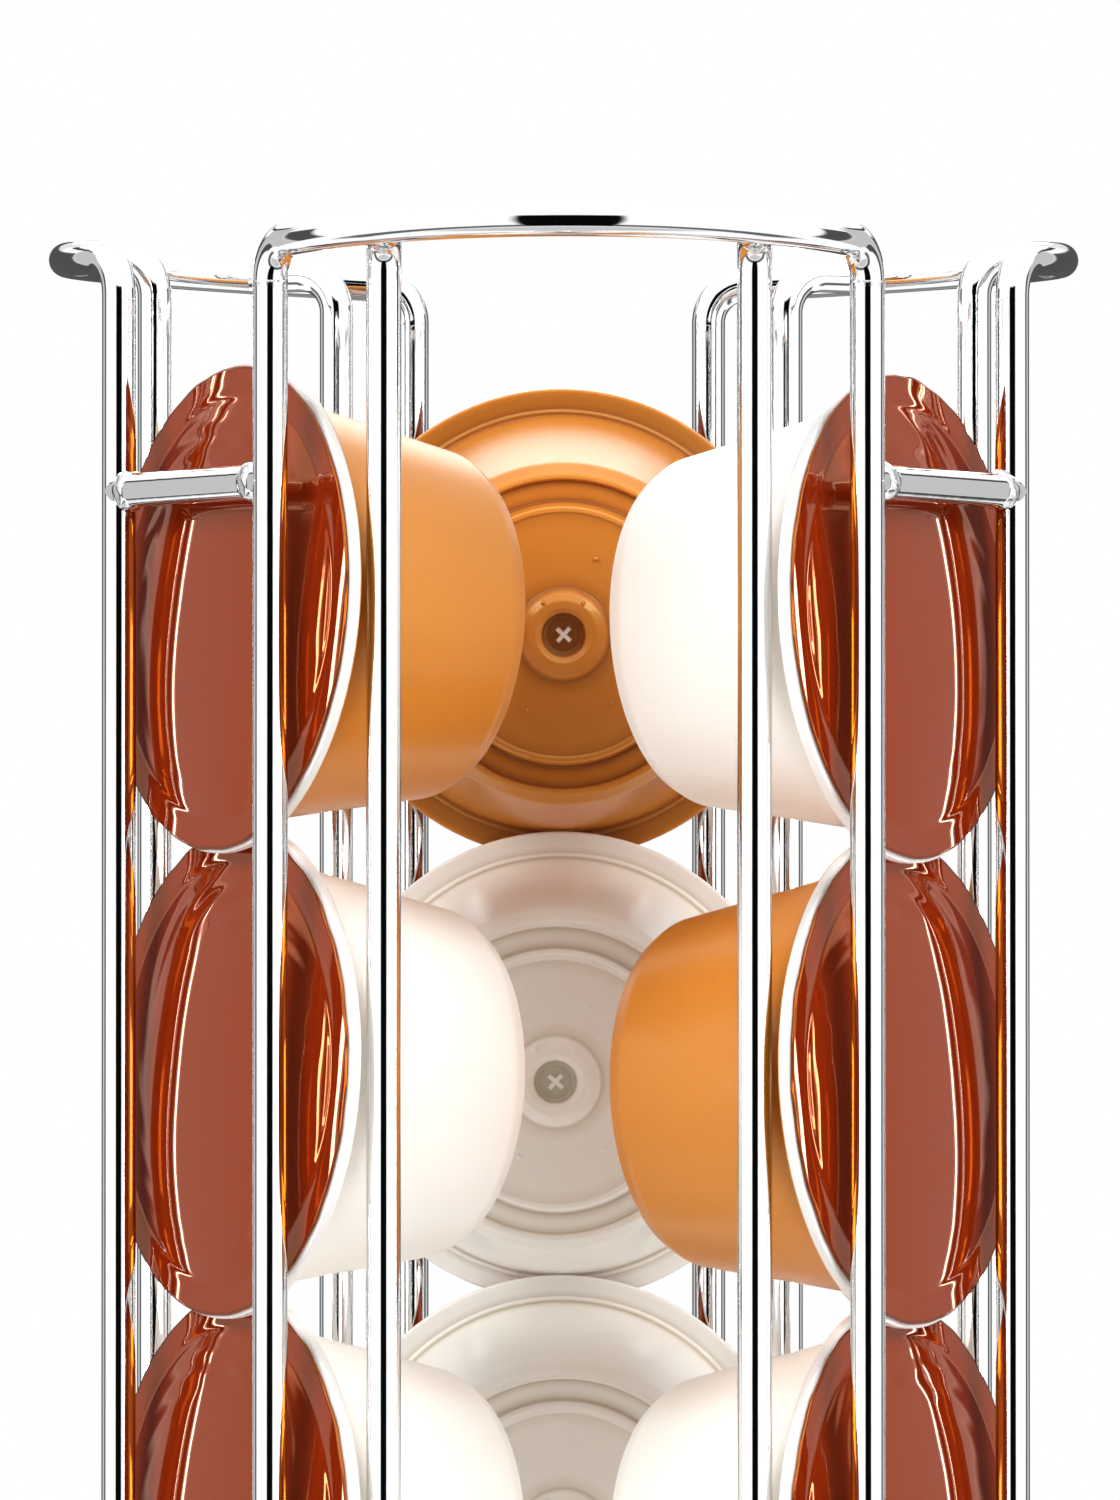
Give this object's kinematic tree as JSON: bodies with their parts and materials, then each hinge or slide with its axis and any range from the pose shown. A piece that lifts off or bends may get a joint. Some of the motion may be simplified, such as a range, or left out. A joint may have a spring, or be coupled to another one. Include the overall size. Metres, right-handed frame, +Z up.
{
  "type": "coffee capsule dispenser",
  "caption": "Chromed wire tower on a turntable foot that stores coffee capsules in three open columns, filled from the top and emptied at the bottom.",
  "frame": {"origin": "on the table, on the turntable's axis, at the middle of the foot's underside", "axes": "+Z up along the turntable's axis, -Y out of the front wire module, +X to the right seen from the front"},
  "size_m": [0.1322, 0.1322, 0.339],
  "materials": {
    "chrome_wire": "bright chrome plate",
    "chrome_sheet": "bright chrome plate on pressed sheet",
    "zinc_steel": "zinc plated",
    "orange_cup": "moulded, satin",
    "white_cup": "moulded, satin",
    "foil_lid": "glossy lacquered foil",
    "rubber": "matte",
    "nylon": "natural nylon"
  },
  "bodies": {
    "foot": {"foot_plate": "zinc_steel", "rubber_foot_ring": "rubber", "glide_ring": "nylon", "pivot_bush": "nylon", "pivot_washer": "zinc_steel", "pivot_nut": "zinc_steel", "pivot_bolt": "zinc_steel"},
    "rack": {"rim_loop_front": "chrome_wire", "rim_loop_rear_left": "chrome_wire", "rim_loop_rear_right": "chrome_wire", "inner_leg_front_a": "chrome_wire", "inner_leg_front_b": "chrome_wire", "inner_leg_rear_left_a": "chrome_wire", "inner_leg_rear_left_b": "chrome_wire", "inner_leg_rear_right_a": "chrome_wire", "inner_leg_rear_right_b": "chrome_wire", "tie_bar_left": "chrome_wire", "tie_bar_back": "chrome_wire", "tie_bar_right": "chrome_wire", "lower_ring": "chrome_wire", "turntable_dish": "chrome_sheet", "capsule_cup_left_2": "white_cup", "capsule_foil_left_2": "foil_lid", "capsule_cup_left_3": "white_cup", "capsule_foil_left_3": "foil_lid", "capsule_cup_left_4": "orange_cup", "capsule_foil_left_4": "foil_lid", "capsule_cup_left_5": "white_cup", "capsule_foil_left_5": "foil_lid", "capsule_cup_back_2": "white_cup", "capsule_foil_back_2": "foil_lid", "capsule_cup_back_3": "white_cup", "capsule_foil_back_3": "foil_lid", "capsule_cup_back_4": "white_cup", "capsule_foil_back_4": "foil_lid", "capsule_cup_back_5": "white_cup", "capsule_foil_back_5": "foil_lid", "capsule_cup_right_2": "orange_cup", "capsule_foil_right_2": "foil_lid", "capsule_cup_right_3": "white_cup", "capsule_foil_right_3": "foil_lid", "capsule_cup_right_4": "white_cup", "capsule_foil_right_4": "foil_lid", "capsule_cup_right_5": "orange_cup", "capsule_foil_right_5": "foil_lid"},
    "top_capsule_left": {"capsule_cup_left_1": "orange_cup", "capsule_foil_left_1": "foil_lid"},
    "bottom_capsule_left": {"capsule_cup_left_6": "white_cup", "capsule_foil_left_6": "foil_lid"},
    "top_capsule_back": {"capsule_cup_back_1": "orange_cup", "capsule_foil_back_1": "foil_lid"},
    "bottom_capsule_back": {"capsule_cup_back_6": "orange_cup", "capsule_foil_back_6": "foil_lid"},
    "top_capsule_right": {"capsule_cup_right_1": "white_cup", "capsule_foil_right_1": "foil_lid"},
    "bottom_capsule_right": {"capsule_cup_right_6": "white_cup", "capsule_foil_right_6": "foil_lid"}
  },
  "joints": [
    {"name": "turntable_spin", "type": "hinge", "parent": "foot", "child": "rack", "pos_m": [0, 0, 0.0103], "axis": [0, 0, 1], "continuous": true},
    {"name": "lift_left", "type": "slide", "parent": "rack", "child": "top_capsule_left", "axis": [0, 0, 1], "range_m": [0, 0.075]},
    {"name": "lift_back", "type": "slide", "parent": "rack", "child": "top_capsule_back", "axis": [0, 0, 1], "range_m": [0, 0.075]},
    {"name": "lift_right", "type": "slide", "parent": "rack", "child": "top_capsule_right", "axis": [0, 0, 1], "range_m": [0, 0.075]},
    {"name": "draw_left", "type": "slide", "parent": "rack", "child": "bottom_capsule_left", "axis": [-0.8648, -0.4993, 0.0523], "range_m": [0, 0.045]},
    {"name": "draw_back", "type": "slide", "parent": "rack", "child": "bottom_capsule_back", "axis": [0, 0.9986, 0.0523], "range_m": [0, 0.045]},
    {"name": "draw_right", "type": "slide", "parent": "rack", "child": "bottom_capsule_right", "axis": [0.8648, -0.4993, 0.0523], "range_m": [0, 0.045]}
  ]
}
